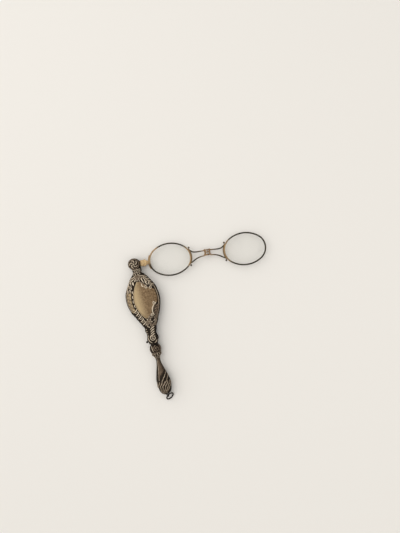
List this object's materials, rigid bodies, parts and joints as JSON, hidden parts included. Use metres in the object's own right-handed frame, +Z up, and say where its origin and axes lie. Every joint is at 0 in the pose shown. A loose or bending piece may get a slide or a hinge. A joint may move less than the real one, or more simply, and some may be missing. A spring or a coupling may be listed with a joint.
{
  "type": "folding lorgnette",
  "caption": "Folding lorgnette: oval lenses on a sprung bridge fold together and swing into the slot of a repousse silver handle with a catch and a chain ring.",
  "frame": {"origin": "middle of the part's box, on the surface that it lies on when it is opened", "axes": "+Z up, square to the case and the lenses; the handle's tail runs along -Y from the pivot, and the opened lens frame runs towards +X"},
  "size_m": [0.134, 0.138, 0.0105],
  "materials": {
    "oxidised_silver": "chased and oxidised, worn bright on the high places",
    "dark_silver": "oxidised satin",
    "gilt": "worn gilt, pinkish where the base metal shows",
    "worn_gilt": "tarnished gilt wire",
    "steel": "plain",
    "lens_glass": "clear, polished"
  },
  "bodies": {
    "handle": {"case_front": "oxidised_silver", "case_back": "oxidised_silver", "boss_wall": "dark_silver", "case_spine": "dark_silver", "pivot_bush_front": "steel", "pivot_bush_back": "steel", "neck_block": "dark_silver", "grip_front": "oxidised_silver", "grip_back": "oxidised_silver", "end_loop": "dark_silver", "spring_anchor": "steel", "swing_spring": "steel", "catch_spring": "steel"},
    "pivot": {"pivot_pin": "steel", "pivot_washers": "steel"},
    "near_frame": {"tang": "gilt", "near_rim": "worn_gilt", "near_lens": "lens_glass", "near_strap": "worn_gilt", "near_bridge": "worn_gilt", "near_hinge": "gilt", "hinge_pin": "steel"},
    "far_frame": {"far_hinge": "gilt", "far_bridge": "worn_gilt", "far_strap": "worn_gilt", "far_rim": "worn_gilt", "far_lens": "lens_glass", "fold_spring": "steel"},
    "catch": {"catch_slider": "gilt", "catch_knob": "dark_silver"},
    "ring": {"suspension_ring": "dark_silver"}
  },
  "joints": [
    {"name": "slot_swing", "type": "hinge", "parent": "handle", "child": "pivot", "pos_m": [-0.05226, 0.05736, 0.00525], "axis": [0, 0, 1], "range_deg": [-57, 0], "stiffness_Nm_per_rad": 0.02, "springref_deg": 57.3, "deforming": ["swing_spring"]},
    {"name": "spring_swing", "type": "hinge", "parent": "pivot", "child": "near_frame", "pos_m": [-0.05226, 0.05736, 0.00525], "axis": [0, 0, 1], "range_deg": [-25, 0], "stiffness_Nm_per_rad": 0.02, "springref_deg": 57.3, "deforming": ["swing_spring"]},
    {"name": "lens_fold", "type": "hinge", "parent": "near_frame", "child": "far_frame", "pos_m": [0.01388, 0.05041, 0.00525], "axis": [-0.1045, -0.9945, 0], "range_deg": [0, 180], "stiffness_Nm_per_rad": 0.0005, "springref_deg": -45.84, "deforming": ["fold_spring"]},
    {"name": "catch_slide", "type": "slide", "parent": "handle", "child": "catch", "axis": [0, -1, 0], "range_m": [0, 0.0008], "stiffness_N_per_m": 300, "springref_m": -0.001, "deforming": ["catch_spring"]},
    {"name": "ring_swing", "type": "hinge", "parent": "handle", "child": "ring", "pos_m": [-0.05156, -0.06404, 0.00595], "axis": [0.7826, 0.6225, 0], "range_deg": [-126, 5]}
  ],
  "couplings": [
    {"joint": "lens_fold", "follows": "spring_swing", "ratio": -7.2}
  ]
}
